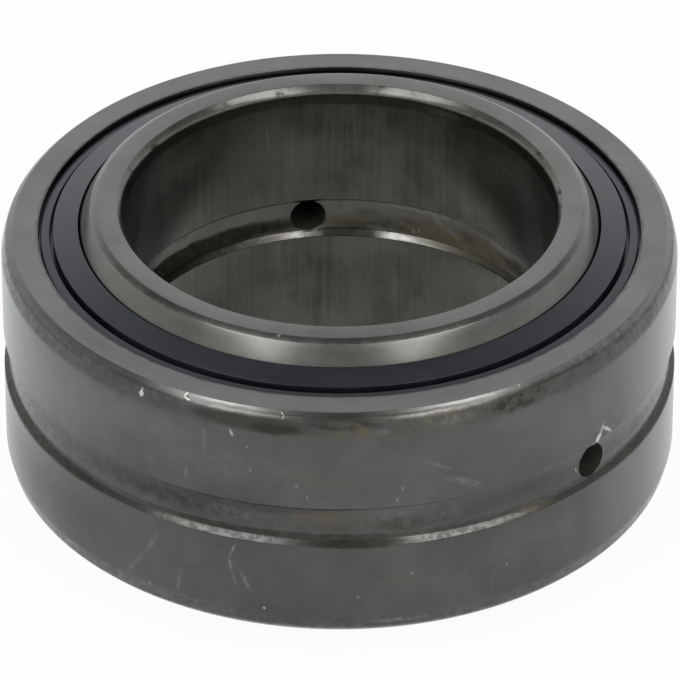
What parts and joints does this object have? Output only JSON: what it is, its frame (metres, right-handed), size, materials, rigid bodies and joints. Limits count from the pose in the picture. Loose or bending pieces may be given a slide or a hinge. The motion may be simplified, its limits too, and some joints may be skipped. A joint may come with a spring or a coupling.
{
  "type": "spherical plain bearing",
  "caption": "Sealed radial spherical plain bearing: a ball-shaped inner ring that swivels in a grooved outer ring, with rubber lip seals and oil holes.",
  "frame": {"origin": "centre of the ball, half way along the bore", "axes": "+Z along the bore axis, out of one end face; X and Y across the rings"},
  "size_m": [0.047, 0.047, 0.022],
  "materials": {
    "outer_steel": "dark phosphated bearing steel, satin, with dirt on the corners and in the groove",
    "inner_steel": "dark phosphated bearing steel, satin, with an olive tint in the bore",
    "seal_rubber": "blue-black moulded rubber, smooth satin"
  },
  "bodies": {
    "outer_ring": {"outer_ring": "outer_steel"},
    "seals": {"upper_seal": "seal_rubber", "lower_seal": "seal_rubber"},
    "inner_ring": {"inner_ring": "inner_steel"}
  },
  "joints": [
    {"name": "ball_turn", "type": "hinge", "parent": "outer_ring", "child": "seals", "pos_m": [0, 0, 0], "axis": [0, 0, 1], "continuous": true},
    {"name": "ball_tilt", "type": "hinge", "parent": "seals", "child": "inner_ring", "pos_m": [0, 0, 0], "axis": [1, 0, 0], "range_deg": [-6, 6]}
  ]
}
